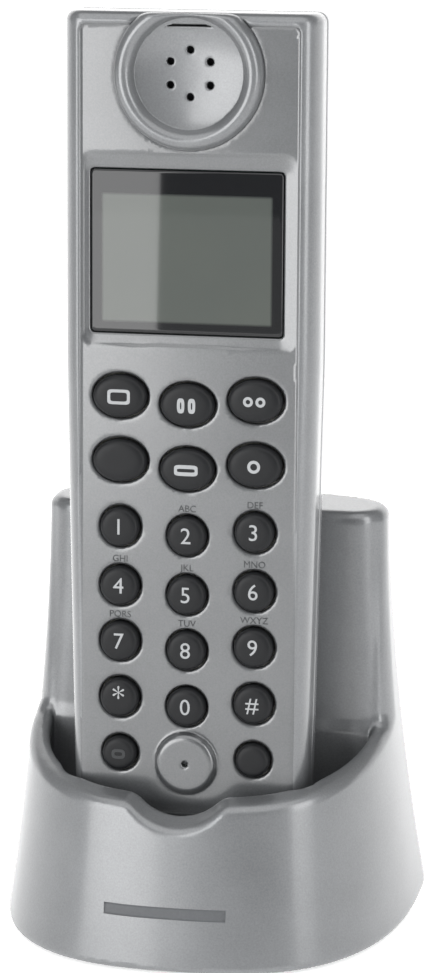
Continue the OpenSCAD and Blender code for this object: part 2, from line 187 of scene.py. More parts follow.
def half_width(z):
    """Half the base's width at its widest line, at a height."""
    shrink = np.clip(1 - z / BASE_TOP, 0, 1) ** BASE_FLARE
    return BASE_HALF[1] + (BASE_HALF[0] - BASE_HALF[1]) * shrink


def backrest_front(x, v, z):
    """Everything behind the backrest's front face and between its two rounded columns."""
    return rounded_cut(np.abs(x) - half_width(z), BACKREST_FACE - v, COLUMN_CORNER)


def base_body(x, y, z):
    """The bowl and backrest before anything is cut into them, except the space in front."""
    shrink = np.clip(1 - z / BASE_TOP, 0, 1) ** BASE_FLARE
    half = half_width(z)
    rear = BASE_REAR[1] + (BASE_REAR[0] - BASE_REAR[1]) * shrink
    walls = squircle(x, y - WIDEST_Y, half, BASE_FRONT - BASE_FRONT_SLOPE * z, rear)
    _, v, _ = in_handset(x, y, z)
    rim_y = WIDEST_Y - BASE_FRONT + BASE_FRONT_SLOPE * RIM_HEIGHT
    above_rim = (z - RIM_HEIGHT) * math.cos(RIM_RISE) - (y - rim_y) * math.sin(RIM_RISE)
    bowl = rounded_cut(walls, above_rim, RIM_RADIUS)
    front = backrest_front(x, v, z)
    backrest = rounded_cut(np.maximum(walls, front), z - BASE_TOP, BACKREST_EDGE)
    fillet = np.maximum(rounded_join(above_rim, front, FILLET), z - FILLET_TOP)
    body = np.minimum(np.minimum(bowl, backrest), rounded_cut(walls, fillet, 1.5))
    return rounded_cut(body, BASE_FOOT - z, 0.8)


def base_field(x, y, z):
    _, v, w = in_handset(x, y, z)
    solid = base_body(x, y, z)
    pocket = squircle(x, v - POCKET_MIDDLE, POCKET_HALF, *POCKET_DEPTHS)
    pocket = rounded_cut(pocket, POCKET_FLOOR - w, 2.0)
    pocket = rounded_cut(rounded_cut(pocket, -backrest_front(x, v, z), 0.6), v - HOLLOW_BACK, 0.5)
    solid = carve(solid, pocket, 1.6)
    channel = handset_skin(x, v, np.clip(w, TAPER_TOP, 140), -HANDSET_ROOM)
    solid = carve(solid, np.maximum(channel, POCKET_FLOOR - w), 1.0)
    dip = np.hypot(x, z - DIP_HEIGHT) - (DIP_RADIUS - (y - DIP_SPAN[0]) * DIP_TAPER)
    dip *= math.cos(math.atan(DIP_TAPER))
    solid = carve(solid, np.maximum(dip, y - DIP_SPAN[1]), 1.3)
    plate = squircle(x, y - WIDEST_Y, *PLATE_OUTLINE)
    solid = carve(solid, np.maximum(plate, z - PLATE_TOP), 0.3)
    for socket_x, socket_z, half in (LINE_SOCKET, POWER_SOCKET):
        solid = carve(solid, brick(x - socket_x, y - SOCKETS_Y, z - socket_z, half), 0.35)
    button_hole = np.hypot(x, z - PAGE_BUTTON[0]) - PAGE_BUTTON[1]
    solid = carve(solid, np.maximum(button_hole, PAGE_HOLE_FLOOR - y), 0.35)
    for side in (-BLADE_X, BLADE_X):
        solid = carve(solid, brick(x - side, v - BLADE_V, w, (2.5, 1.0, 4.0), 0.2), 0.25)
    return solid


def skin_mesh(field, low, high, step):
    """Points and quads of the surface where field is zero, in mm: one point for each grid cell
    that the surface passes through, moved onto it, and one quad for each grid edge it crosses."""
    axes = [np.arange(a, b + step, step) for a, b in zip(low, high)]
    value = field(*np.meshgrid(*axes, indexing="ij"))
    inside = value < 0
    count = sum(
        inside[i:i - 1 or None, j:j - 1 or None, k:k - 1 or None].astype(np.int8)
        for i in (0, 1) for j in (0, 1) for k in (0, 1)
    )
    cells = np.argwhere((count > 0) & (count < 8))
    index = np.full(count.shape, -1)
    index[tuple(cells.T)] = np.arange(len(cells))
    corner = {c: value[tuple((cells + c).T)] for c in np.ndindex(2, 2, 2)}
    total, hits = np.zeros((len(cells), 3)), np.zeros(len(cells))
    for c in corner:
        for axis in range(3):
            if c[axis]:
                continue
            d = tuple(c[n] + (n == axis) for n in range(3))
            crossed = (corner[c] < 0) != (corner[d] < 0)
            share = corner[c] / np.where(crossed, corner[c] - corner[d], 1)
            along = np.array(c, float) + share[:, None] * np.eye(3)[axis]
            total += along * crossed[:, None]
            hits += crossed
    points = np.array(low) + (cells + total / hits[:, None]) * step
    for _ in range(3):
        here = field(*points.T)
        eps = step * 0.1
        slope = np.stack([
            (field(*(points + eps * e).T) - field(*(points - eps * e).T)) / (2 * eps)
            for e in np.eye(3)
        ], axis=1)
        move = slope * (here / np.maximum((slope ** 2).sum(1), 0.2))[:, None]
        points -= np.clip(move, -0.5 * step, 0.5 * step)
    quads = []
    for axis in range(3):
        b, c = (axis + 1) % 3, (axis + 2) % 3
        first = np.take(inside, range(inside.shape[axis] - 1), axis)
        second = np.take(inside, range(1, inside.shape[axis]), axis)
        edges = np.argwhere(first != second)
        edges = edges[(edges[:, b] > 0) & (edges[:, c] > 0)]
        ring = []
        for back_b, back_c in ((1, 1), (0, 1), (0, 0), (1, 0)):
            cell = edges.copy()
            cell[:, b] -= back_b
            cell[:, c] -= back_c
            ring.append(index[tuple(cell.T)])
        ring = np.stack(ring, axis=1)
        outward = first[tuple(edges.T)]
        quads.append(np.where(outward[:, None], ring, ring[:, ::-1]))
    return points, np.concatenate(quads)


def new_piece(name, points, faces, material):
    """A mesh object from points in mm, in the row frame, smooth shaded."""
    mesh = bpy.data.meshes.new(name)
    mesh.from_pydata((np.asarray(points) * MM).tolist(), [], np.asarray(faces).tolist())
    mesh.polygons.foreach_set("use_smooth", [True] * len(mesh.polygons))
    mesh.materials.append(material)
    piece = bpy.data.objects.new(name, mesh)
    bpy.context.scene.collection.objects.link(piece)
    return piece


def thin_out(piece, ratio):
    """Takes triangles away where the surface is flat, and keeps them where it bends."""
    modifier = piece.modifiers.new("thin_out", "DECIMATE")
    modifier.ratio = ratio
    seen = piece.evaluated_get(bpy.context.evaluated_depsgraph_get())
    mesh = bpy.data.meshes.new_from_object(seen)
    piece.modifiers.remove(modifier)
    piece.data = mesh
    mesh.polygons.foreach_set("use_smooth", [True] * len(mesh.polygons))


def srgb(code):
    """An sRGB hex colour as the linear values that Blender works in."""
    channels = [int(code[i:i + 2], 16) / 255 for i in (1, 3, 5)]
    return [c / 12.92 if c <= 0.04045 else ((c + 0.055) / 1.055) ** 2.4 for c in channels] + [1.0]


def add(tree, kind, inputs=(), **settings):
    """One node: settings fill its properties or, by name, its inputs. Each of inputs is
    (input, source node, output), which joins another node to it, or (input, value)."""
    node = tree.nodes.new(kind)
    for name, setting in settings.items():
        if hasattr(node, name):
            setattr(node, name, setting)
        else:
            node.inputs[name.replace("_", " ")].default_value = setting
    for to, source, *out in inputs:
        if out:
            tree.links.new(source.outputs[out[0]], node.inputs[to])
        else:
            node.inputs[to].default_value = source
    return node


def new_material(name):
    """An empty material with its node tree, its object coordinates and its output."""
    material = bpy.data.materials.new(name)
    material.use_nodes = True
    tree = material.node_tree
    tree.nodes.clear()
    place = add(tree, "ShaderNodeTexCoord")
    return material, tree, place


def silver_paint(name, dark, light, coat_ior):
    """Moulded ABS with a satin silver lacquer: fine metal flake, faint orange peel, and a
    clear topcoat. Flake is 0.1 mm on the real part and is drawn 0.35 mm coarse to show."""
    material, tree, place = new_material(name)
    flake = add(tree, "ShaderNodeTexNoise", [("Vector", place, "Object")], Scale=2900.0, Detail=2.0)
    cloud = add(tree, "ShaderNodeTexNoise", [("Vector", place, "Object")], Scale=60.0, Detail=3.0)
    both = add(tree, "ShaderNodeMath", [(0, flake, "Fac"), (1, cloud, "Fac")], operation="ADD")
    tone = add(tree, "ShaderNodeMapRange", [("Value", both, 0)], From_Min=0.7, From_Max=1.3)
    colours = [(0, tone, 0), (6, srgb(dark)), (7, srgb(light))]
    tint = add(tree, "ShaderNodeMix", colours, data_type="RGBA")
    rough = add(tree, "ShaderNodeMapRange", [("Value", cloud, "Fac")], To_Min=0.38, To_Max=0.45)
    peel = add(tree, "ShaderNodeTexNoise", [("Vector", place, "Object")], Scale=900.0, Detail=1.0)
    bump = add(tree, "ShaderNodeBump", [("Height", peel, "Fac")], Strength=0.05, Distance=0.0002)
    shader = add(
        tree, "ShaderNodeBsdfPrincipled",
        [("Base Color", tint, 2), ("Roughness", rough, 0), ("Normal", bump, 0)],
        Metallic=0.35, Coat_Weight=1.0, Coat_Roughness=0.18, Coat_IOR=coat_ior,
    )
    add(tree, "ShaderNodeOutputMaterial", [("Surface", shader, 0)])
    return material


silver = silver_paint("silver_lacquer_on_abs", "#67696b", "#76787a", 1.6)
points, quads = skin_mesh(base_field, (-45, -45, -0.5), (45, 45, 87), 0.62)
base_housing = new_piece("base_housing_skin", points, quads, silver)
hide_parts("base_housing")
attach(base_housing, "base")


# ---------------------------------------------------------------------------------------------
# Printed stripe: a plain pad-printed bar low on the base's front, in dark grey ink.
# It follows the housing's curve and stands a few hundredths of a millimetre proud.
# ---------------------------------------------------------------------------------------------
STRIPE_MIDDLE = (-1.5, 12.4)
STRIPE_SIZE = (25.0, 2.3)
STRIPE_PROUD = 0.05


def printed_ink(name, colour, rough):
    """Screen-printed ink: matt, very slightly uneven in tone where the film is thin."""
    material, tree, place = new_material(name)
    grain = add(tree, "ShaderNodeTexNoise", [("Vector", place, "Object")], Scale=1500.0, Detail=2.0)
    thin = [c * 0.8 for c in srgb(colour)[:3]] + [1.0]
    colours = [(0, grain, "Fac"), (6, srgb(colour)), (7, thin)]
    tint = add(tree, "ShaderNodeMix", colours, data_type="RGBA")
    shader = add(tree, "ShaderNodeBsdfPrincipled", [("Base Color", tint, 2)], Roughness=rough)
    add(tree, "ShaderNodeOutputMaterial", [("Surface", shader, 0)])
    return material


def front_of_base(x, z):
    """How far forward the base's front is, at a place seen from the front, by halving."""
    near, far = np.full(x.shape, -50.0), np.full(x.shape, -30.0)
    for _ in range(30):
        middle = (near + far) / 2
        outside = base_body(x, middle, z) > 0
        near, far = np.where(outside, middle, near), np.where(outside, far, middle)
    return near


def sheet_on(name, columns, rows, place, material):
    """A thin closed sheet: place(u, v, lift) gives its points for u and v from 0 to 1."""
    u, v = np.meshgrid(np.linspace(0, 1, columns), np.linspace(0, 1, rows), indexing="ij")
    top = np.stack(place(u.ravel(), v.ravel(), 1.0), axis=1)
    under = np.stack(place(u.ravel(), v.ravel(), -1.0), axis=1)
    cell = np.arange(columns * rows).reshape(columns, rows)
    quad = [cell[:-1, :-1], cell[1:, :-1], cell[1:, 1:], cell[:-1, 1:]]
    upper = np.stack([q.ravel() for q in quad], axis=1)
    lower = upper[:, ::-1] + columns * rows
    loop = np.concatenate([cell[:, 0], cell[-1, 1:], cell[-2::-1, -1], cell[0, -2:0:-1]])
    after = np.roll(loop, -1)
    n = columns * rows
    edge = np.stack([after, loop, loop + n, after + n], axis=1)
    return new_piece(name, np.concatenate([top, under]), np.concatenate([upper, lower, edge]), material)


def on_base_front(u, v, lift):
    x = STRIPE_MIDDLE[0] + (u - 0.5) * STRIPE_SIZE[0]
    z = STRIPE_MIDDLE[1] + (v - 0.5) * STRIPE_SIZE[1]
    return x, front_of_base(x, z) - lift * STRIPE_PROUD, z


dark_ink = printed_ink("dark_grey_pad_print", "#55575a", 0.5)
stripe = sheet_on("base_stripe", 40, 5, on_base_front, dark_ink)
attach(stripe, "base")


# ---------------------------------------------------------------------------------------------
# Base plate, feet, screws, board, shield and sockets: a textured dark ABS plate with soft
# rubber feet, and behind the openings a black nylon line socket and power socket.
# ---------------------------------------------------------------------------------------------
def moulded_plastic(name, colour, rough, grain_mm, depth, ior=1.5):
    """Unpainted moulded plastic with the fine spark-eroded grain of its mould."""
    material, tree, place = new_material(name)
    grain = add(
        tree, "ShaderNodeTexNoise", [("Vector", place, "Object")], Scale=1000 / grain_mm, Detail=2.0,
    )
    low, high = ([min(1.0, c * k) for c in srgb(colour)[:3]] + [1.0] for k in (0.88, 1.12))
    colours = [(0, grain, "Fac"), (6, low), (7, high)]
    tint = add(tree, "ShaderNodeMix", colours, data_type="RGBA")
    gloss = add(
        tree, "ShaderNodeMapRange", [("Value", grain, "Fac")], To_Min=rough - 0.04, To_Max=rough + 0.04,
    )
    bump = add(tree, "ShaderNodeBump", [("Height", grain, "Fac")], Strength=depth, Distance=0.0001)
    shader = add(
        tree, "ShaderNodeBsdfPrincipled",
        [("Base Color", tint, 2), ("Roughness", gloss, 0), ("Normal", bump, 0)], IOR=ior,
    )
    add(tree, "ShaderNodeOutputMaterial", [("Surface", shader, 0)])
    return material


def bare_metal(name, colour, rough, brush_mm):
    """Plated sheet or wire: drawn lines along its length show as streaks in the gloss."""
    material, tree, place = new_material(name)
    turn = add(tree, "ShaderNodeMapping", [("Vector", place, "Object")], Scale=(1.0, 1.0, 0.06))
    lines = add(tree, "ShaderNodeTexNoise", [("Vector", turn, 0)], Scale=1000 / brush_mm, Detail=2.0)
    gloss = add(
        tree, "ShaderNodeMapRange", [("Value", lines, "Fac")], To_Min=rough - 0.07, To_Max=rough + 0.07,
    )
    bump = add(tree, "ShaderNodeBump", [("Height", lines, "Fac")], Strength=0.1, Distance=0.00005)
    shader = add(
        tree, "ShaderNodeBsdfPrincipled", [("Roughness", gloss, 0), ("Normal", bump, 0)],
        Base_Color=srgb(colour), Metallic=1.0,
    )
    add(tree, "ShaderNodeOutputMaterial", [("Surface", shader, 0)])
    return material


plate_abs = moulded_plastic("dark_textured_abs", "#6a6c6f", 0.6, 0.5, 0.4)
solder_mask = moulded_plastic("green_solder_mask", "#2c5a3a", 0.35, 0.8, 0.1)
nylon = moulded_plastic("black_nylon", "#1b1c1e", 0.45, 0.6, 0.15)
rubber = moulded_plastic("foot_rubber", "#1a1a1c", 0.85, 0.4, 0.4)
tin = bare_metal("tinned_steel", "#c9ccd0", 0.32, 0.3)
zinc = bare_metal("zinc_plated_steel", "#b0b3b6", 0.35, 0.2)
gold = bare_metal("gold_plated_bronze", "#d9b866", 0.28, 0.2)


def finish_node(node, material):
    """Gives a CAD node that stays as it is its material."""
    materials = frame["nodes"][node].data.materials
    materials.clear()
    materials.append(material)


for node, material in (
    ("base_plate", plate_abs), ("base_board", solder_mask), ("radio_shield", tin),
    ("line_jack", nylon), ("power_jack", nylon), ("base_screws", zinc), ("charge_blades", gold),
):
    finish_node(node, material)


# ---------------------------------------------------------------------------------------------
# Soft-edged round parts: key caps, feet and the paging button are all a pad with a crowned
# top and a soft edge, moulded in one piece. One tree makes each from its radii and height.
# ---------------------------------------------------------------------------------------------
STEPS_DOWN = 34
STEPS_ROUND = 65
UNDERSIDE_AT = 0.75


def pad_tree():
    """Geometry nodes: a grid bent round into a pad. Its long side runs from the middle of the
    top over the edge and down to the middle of the bottom; its short side runs round it."""
    tree = bpy.data.node_groups.new("soft_edged_pad", "GeometryNodeTree")
    face = tree.interface
    for name, value in (("Radius X", 0.004), ("Radius Y", 0.004), ("Height", 0.003), ("Squareness", 5.0)):
        face.new_socket(name, in_out="INPUT", socket_type="NodeSocketFloat").default_value = value
    face.new_socket("Material", in_out="INPUT", socket_type="NodeSocketMaterial")
    face.new_socket("Geometry", in_out="OUTPUT", socket_type="NodeSocketGeometry")
    given = add(tree, "NodeGroupInput")
    grid = add(
        tree, "GeometryNodeMeshGrid",
        Size_X=1.0, Size_Y=1.0, Vertices_X=STEPS_DOWN, Vertices_Y=STEPS_ROUND,
    )
    place = add(tree, "GeometryNodeInputPosition")
    step = {"along": add(tree, "ShaderNodeSeparateXYZ", [(0, place, 0)]), "given": given}
    for name, operation, *terms in (
        ("down", "ADD", ("along", "X"), 0.5),
        ("part turn", "ADD", ("along", "Y"), 0.5),
        ("turn", "MULTIPLY", ("part turn", 0), 2 * math.pi),
        ("part edge", "DIVIDE", ("down", 0), UNDERSIDE_AT),
        ("held edge", "MINIMUM", ("part edge", 0), 1.0),
        ("quarter", "MULTIPLY", ("held edge", 0), math.pi / 2),
        ("power", "DIVIDE", 2.0, ("given", "Squareness")),
        ("sine", "SINE", ("quarter", 0)),
        ("wide", "POWER", ("sine", 0), ("power", 0)),
        ("past edge", "SUBTRACT", ("down", 0), UNDERSIDE_AT),
        ("part inward", "DIVIDE", ("past edge", 0), 1 - UNDERSIDE_AT),
        ("inward", "MAXIMUM", ("part inward", 0), 0.0),
        ("outward", "SUBTRACT", 1.0, ("inward", 0)),
        ("reach", "MULTIPLY", ("wide", 0), ("outward", 0)),
        ("cosine", "COSINE", ("quarter", 0)),
        ("held cosine", "MAXIMUM", ("cosine", 0), 0.0),
        ("rise", "POWER", ("held cosine", 0), ("power", 0)),
        ("reach x", "MULTIPLY", ("reach", 0), ("given", "Radius X")),
        ("reach y", "MULTIPLY", ("reach", 0), ("given", "Radius Y")),
        ("turn x", "COSINE", ("turn", 0)),
        ("turn y", "SINE", ("turn", 0)),
        ("x", "MULTIPLY", ("reach x", 0), ("turn x", 0)),
        ("y", "MULTIPLY", ("reach y", 0), ("turn y", 0)),
        ("z", "MULTIPLY", ("rise", 0), ("given", "Height")),
    ):
        inputs = [
            (slot, step[term[0]], term[1]) if isinstance(term, tuple) else (slot, term)
            for slot, term in enumerate(terms)
        ]
        step[name] = add(tree, "ShaderNodeMath", inputs, operation=operation)
    bent_place = [(axis, step[axis.lower()], 0) for axis in "XYZ"]
    flat = add(tree, "ShaderNodeCombineXYZ", bent_place)
    bent = add(tree, "GeometryNodeSetPosition", [("Geometry", grid, "Mesh"), ("Position", flat, 0)])
    closed = add(tree, "GeometryNodeMergeByDistance", [("Geometry", bent, 0)], Distance=1e-6)
    smooth = add(tree, "GeometryNodeSetShadeSmooth", [("Geometry", closed, 0)])
    real = add(tree, "GeometryNodeRealizeInstances", [("Geometry", smooth, 0)])
    coloured = add(
        tree, "GeometryNodeSetMaterial", [("Geometry", real, 0), ("Material", given, "Material")],
    )
    add(tree, "NodeGroupOutput", [("Geometry", coloured, 0)])
    return tree


soft_pad = pad_tree()


def run_tree(name, tree, values):
    """The plain mesh that a geometry-nodes tree makes with these inputs."""
    holder = bpy.data.objects.new(name, bpy.data.meshes.new(name))
    bpy.context.scene.collection.objects.link(holder)
    modifier = holder.modifiers.new("make", "NODES")
    modifier.node_group = tree
    for item in tree.interface.items_tree:
        if item.in_out == "INPUT" and item.name in values:
            modifier[item.identifier] = values[item.name]
    seen = holder.evaluated_get(bpy.context.evaluated_depsgraph_get())
    mesh = bpy.data.meshes.new_from_object(seen)
    bpy.data.objects.remove(holder)
    return mesh


def put(name, meshes, body, slot, *nodes):
    """Joins meshes that are already in place into one piece that rides on a body."""
    piece = bpy.data.objects.new(name, meshes[0])
    bpy.context.scene.collection.objects.link(piece)
    others = []
    for extra in meshes[1:]:
        other = bpy.data.objects.new(name + "_part", extra)
        bpy.context.scene.collection.objects.link(other)
        others.append(other)
    if others:
        with bpy.context.temp_override(
            active_object=piece, selected_editable_objects=[piece, *others], object=piece,
        ):
            bpy.ops.object.join()
    if nodes:
        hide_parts(*nodes)
    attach(piece, body)
    return piece


def pad(radius_x, radius_y, height, squareness, material, place):
    """One pad in mm, its bottom at the origin of place, its top along place's Z."""
    mesh = run_tree("pad", soft_pad, {
        "Radius X": radius_x * MM, "Radius Y": radius_y * MM, "Height": height * MM,
        "Squareness": squareness, "Material": material,
    })
    mesh.transform(place)
    return mesh


FOOT_RADIUS = 5
FOOT_HEIGHT = 1.35
foot_centres = [(-25, -25), (25, -25), (-27, 9), (27, 9)]
upside_down = Matrix.Rotation(math.pi, 4, "X")
feet = []
for x, y in foot_centres:
    foot_top = Matrix.Translation(Vector((x, y, FOOT_HEIGHT)) * MM)
    feet.append(pad(FOOT_RADIUS, FOOT_RADIUS, FOOT_HEIGHT, 6, rubber, foot_top @ upside_down))
put("feet", feet, "base", "foot_rubber", "rubber_feet")

charcoal = moulded_plastic("charcoal_satin_abs", "#17181a", 0.42, 0.5, 0.12, 1.33)
PAGE_RADIUS = 4.2
page_low, page_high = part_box("page_button")
page_depth = page_high.y - page_low.y
page_foot = (page_low + page_high) / 2 - Vector((0, page_depth / 2, 0))
page_place = Matrix.Translation(page_foot) @ Matrix.Rotation(-math.pi / 2, 4, "X")
page = pad(PAGE_RADIUS, PAGE_RADIUS, page_depth / MM, 7, charcoal, page_place)
put("paging_button", [page], "page_button", "key_plastic", "page_button")


# ---------------------------------------------------------------------------------------------
# Handset rear case: the deep half of the handset, moulded ABS in the same silver, with a
# battery opening, sound slots for the ringer and slots for the charge pads.
# ---------------------------------------------------------------------------------------------
SEAM = 9.0
SEAM_GAP = 0.06
WALL = 2.0
COVER_HALF = 18.0
COVER_MIDDLE = 115.0
COVER_HALF_LENGTH = 35.0
SCREW_AT = (19.2, 8)
SCREW_RADII = (2.9, 2.2)
RINGER_W = 46
PAD_X = 9
PAD_V = 15


def to_row(points):
    """Points in the handset's own frame, in mm, moved to where it stands in the base."""
    x, v, w = np.asarray(points, float).T
    y = SEAT[1] + v * math.cos(LEAN) + w * math.sin(LEAN)
    z = SEAT[2] - v * math.sin(LEAN) + w * math.cos(LEAN)
    return np.stack([x, y, z], axis=1)


def rear_field(x, v, w):
    shell = handset_skin(x, v, w, 0)
    shell = np.maximum(shell, -handset_skin(x, v, w, WALL))
    shell = rounded_cut(shell, SEAM + SEAM_GAP - v, 0.3)
    up, out = w - COVER_MIDDLE, v - HANDSET_DEPTH
    opening = brick(x, out, up, (COVER_HALF, 2.3, COVER_HALF_LENGTH), 0.8)
    ledge = brick(x, v - 21.95, up, (COVER_HALF + 1.6, 0.75, COVER_HALF_LENGTH + 1.6), 0.2)
    ledge = carve(ledge, brick(x, v - 22, w - 113, (13.8, 3, 27.8), 1), 0.2)
    bosses = np.hypot(np.abs(x) - SCREW_AT[0], w - SCREW_AT[1]) - SCREW_RADII[0]
    bosses = np.maximum(np.maximum(bosses, SEAM + 0.1 - v), handset_skin(x, v, w, 0.4))
    shell = carve(np.minimum(np.minimum(shell, ledge), bosses), opening, 0.3)
    for k in range(-2, 3):
        slot = brick(x - 4 * k, out, w - RINGER_W, (0.85, 4, 8 - abs(k)), 0.8)
        shell = carve(shell, slot, 0.3)
    for side in (-1, 1):
        shell = carve(shell, brick(x - PAD_X * side, v - PAD_V, w, (2.6, 3.1, 3), 0.3), 0.25)
        screw_hole = np.hypot(x - SCREW_AT[0] * side, w - SCREW_AT[1]) - SCREW_RADII[1]
        shell = carve(shell, np.maximum(screw_hole, 17.9 - v), 0.3)
    return shell


points, quads = skin_mesh(rear_field, (-27, 8, -1), (27, 26, 165), 0.6)
rear_case = new_piece("rear_case_skin", to_row(points), quads, silver)
thin_out(rear_case, 0.6)
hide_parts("rear_case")
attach(rear_case, "handset")


# ---------------------------------------------------------------------------------------------
# Battery, ringer, boards, display module and other things held between the two cases.
# They keep their CAD shapes; only their finishes are given here.
# ---------------------------------------------------------------------------------------------
sleeve = moulded_plastic("battery_shrink_sleeve", "#2d6b8c", 0.3, 1.5, 0.05)
silicone = moulded_plastic("keypad_silicone", "#cfccc4", 0.6, 0.6, 0.1)
speaker_black = moulded_plastic("speaker_body", "#3a3b3d", 0.5, 0.4, 0.2)
lcd_glass = moulded_plastic("display_cell_glass", "#6e746c", 0.15, 2.0, 0.02)
spring_steel = bare_metal("nickel_plated_spring_steel", "#c6c8ca", 0.25, 0.2)
for node, material in (
    ("battery_cells", sleeve), ("battery_contacts", spring_steel), ("keypad_mat", silicone),
    ("main_board", solder_mask), ("receiver", speaker_black), ("ringer_speaker", speaker_black),
    ("microphone", tin), ("lcd_module", lcd_glass), ("charge_pads", gold), ("handset_screws", zinc),
):
    finish_node(node, material)


# ---------------------------------------------------------------------------------------------
# Battery cover: a flush lid of the same painted ABS, with moulded grip ridges near its top.
# ---------------------------------------------------------------------------------------------
COVER_GAP = 0.3
GRIP_LOW = 136.5
GRIP_PITCH = 2.2
GRIP_RADIUS = 0.75
GRIP_HALF = 7


def cover_field(x, v, w):
    half = (COVER_HALF - COVER_GAP, 2.2, COVER_HALF_LENGTH - COVER_GAP)
    lid = brick(x, v - HANDSET_DEPTH, w - COVER_MIDDLE, half, 0.8)
    lid = rounded_cut(lid, handset_skin(x, v, w, 0), 0.3)
    for k in range(5):
        groove = np.hypot(v - HANDSET_DEPTH - 0.2, w - GRIP_LOW - GRIP_PITCH * k) - GRIP_RADIUS
        lid = carve(lid, np.maximum(groove, np.abs(x) - GRIP_HALF), 0.2)
    return lid


points, quads = skin_mesh(cover_field, (-19, 21.5, 78), (19, 26, 152), 0.45)
cover = new_piece("battery_cover_skin", to_row(points), quads, silver)
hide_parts("battery_cover")
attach(cover, "battery_cover")


# ---------------------------------------------------------------------------------------------
# Front case: the shallow half, moulded ABS, with soft side rails, a panel let in between them
# and masked for a darker, glossier lacquer, a well with sloped sides for the display, key
# holes and a low round boss over the microphone.
# ---------------------------------------------------------------------------------------------
KEY_PITCH = 13.7
KEY_DROP = 1.29
TOP_ROW = 88.0
ROW_DROPS = (0, 12.97, 26.43, 38.45, 49.82, 61.44, 72.99)
OVAL = (5.5, 4.3)
DIGIT = (4.0, 4.0)
SMALL = (3.5, 3.5)
MIC_W = TOP_ROW - 74.3
EAR_W = 152.0
WINDOW = (38.7, 32.4)
WINDOW_X = -0.5
WINDOW_LOW = TOP_ROW + 12.63
WINDOW_MID = WINDOW_LOW + WINDOW[1] / 2
PANEL_HALF = 22
PANEL_MIDDLE = 82.25
PANEL_HALF_LENGTH = 79.25
PANEL_STEP = 0.3
PANEL_CROWN = 0.25
WELL_HALF = (21.2, 19.0)
MIC_BOSS = 6.2
MIC_HOLE = 0.6
EAR_SEATS = (15.1, 12.4)
KEY_GAP = 0.3
key_names = (
    ("key_menu", "key_phonebook", "key_redial"), ("key_talk", "key_recall", "key_end"),
    ("key_1", "key_2", "key_3"), ("key_4", "key_5", "key_6"), ("key_7", "key_8", "key_9"),
    ("key_star", "key_0", "key_hash"), ("key_mute", None, "key_volume"),
)
keys = {}
for row, names in enumerate(key_names):
    for column, name in enumerate(names, -1):
        if name:
            up = TOP_ROW - ROW_DROPS[row] - (KEY_DROP if column == 0 else 0)
            radii = OVAL if row < 2 else SMALL if row == 6 else DIGIT
            keys[name] = (column * KEY_PITCH, up, radii)


def ellipse_distance(x, y, a, b):
    k = np.hypot(x / a, y / b)
    return (k - 1) * k / np.maximum(np.hypot(x / a ** 2, y / b ** 2), 1e-6)


def panel_depth(x):
    """The front panel lies a little behind the rails and is crowned across its width."""
    return PANEL_STEP + PANEL_CROWN * (x / PANEL_HALF) ** 2


def window_outline(x, w, gap):
    """Distance to the display window's outline, grown by a gap."""
    return rounded_cut(
        np.abs(x - WINDOW_X) - WINDOW[0] / 2 - gap, np.abs(w - WINDOW_MID) - WINDOW[1] / 2 - gap, 0.8,
    )


def front_field(x, v, w):
    shell = handset_skin(x, v, w, 0)
    shell = np.maximum(shell, -np.maximum(handset_skin(x, v, w, WALL), 0.4 + WALL - v))
    shell = rounded_cut(shell, v - SEAM + SEAM_GAP, 0.3)
    outline = rounded_cut(
        np.abs(x) - PANEL_HALF, np.abs(w - PANEL_MIDDLE) - PANEL_HALF_LENGTH, 1.5,
    )
    shell = carve(shell, rounded_cut(outline, v - panel_depth(x), 0.15), 0.3)
    from_mic = np.hypot(x, w - MIC_W)
    boss = rounded_cut(np.maximum(from_mic - MIC_BOSS, v - 2), -1.6 - v, 1.3)
    shell = rounded_join(shell, boss, 0.3)
    shell = carve(shell, np.maximum(from_mic - MIC_HOLE, v - 4), 0.25)
    window = window_outline(x, w, 0.15)
    well = rounded_cut(
        np.abs(x) - WELL_HALF[0], np.abs(w - WINDOW_MID - 0.4) - WELL_HALF[1], 1.5,
    )
    floor = 1.0 - 0.15 * np.maximum(window, 0)
    shell = carve(shell, np.maximum(well, v - floor), 0.2)
    shell = carve(shell, np.maximum(window, v - 5), 0.2)
    ear = np.hypot(x, w - EAR_W)
    shell = carve(shell, np.maximum(ear - EAR_SEATS[0], v - 0.4), 0.15)
    shell = carve(shell, np.maximum(np.maximum(ear - EAR_SEATS[1], v - 5), w - 161.5), 0.2)
    for kx, kw, (a, b) in keys.values():
        near = (np.abs(w - kw) < 7) & (np.abs(x - kx) < 7.5)
        hole = ellipse_distance(x[near] - kx, w[near] - kw, a + KEY_GAP, b + KEY_GAP)
        shell[near] = carve(shell[near], np.maximum(hole, v[near] - 5), 0.35)
    return shell


points, quads = skin_mesh(front_field, (-27, -2.6, -1), (27, 10, 165), 0.42)
front_case = new_piece("front_case_skin", to_row(points), quads, silver)
front_case.data.materials.append(silver_paint("panel_lacquer", "#4d4f51", "#5a5c5e", 1.8))
across, behind, up = points[quads].mean(axis=1).T
on_panel = (np.abs(across) < PANEL_HALF - 0.1) & (behind < 2.2)
on_panel &= np.abs(up - PANEL_MIDDLE) < PANEL_HALF_LENGTH - 0.1
front_case.data.polygons.foreach_set("material_index", on_panel.astype(np.int32))
thin_out(front_case, 0.6)
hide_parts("front_case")
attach(front_case, "handset")


# ---------------------------------------------------------------------------------------------
# Earpiece: a separate round moulding with a raised crest and a dished middle with six sound
# holes. It is glued into the front case, and the top end of the case trims its crest.
# ---------------------------------------------------------------------------------------------
CREST_RADIUS = 13.0
CREST_HALF = (2.0, 2.75)
DISH_RADIUS = 11
DISH_DEPTH = 1.3
DISH_TOP = 160.9
STEM_RADIUS = 12.1
SOUND_CIRCLE = 4.6
SOUND_HOLE = 0.75


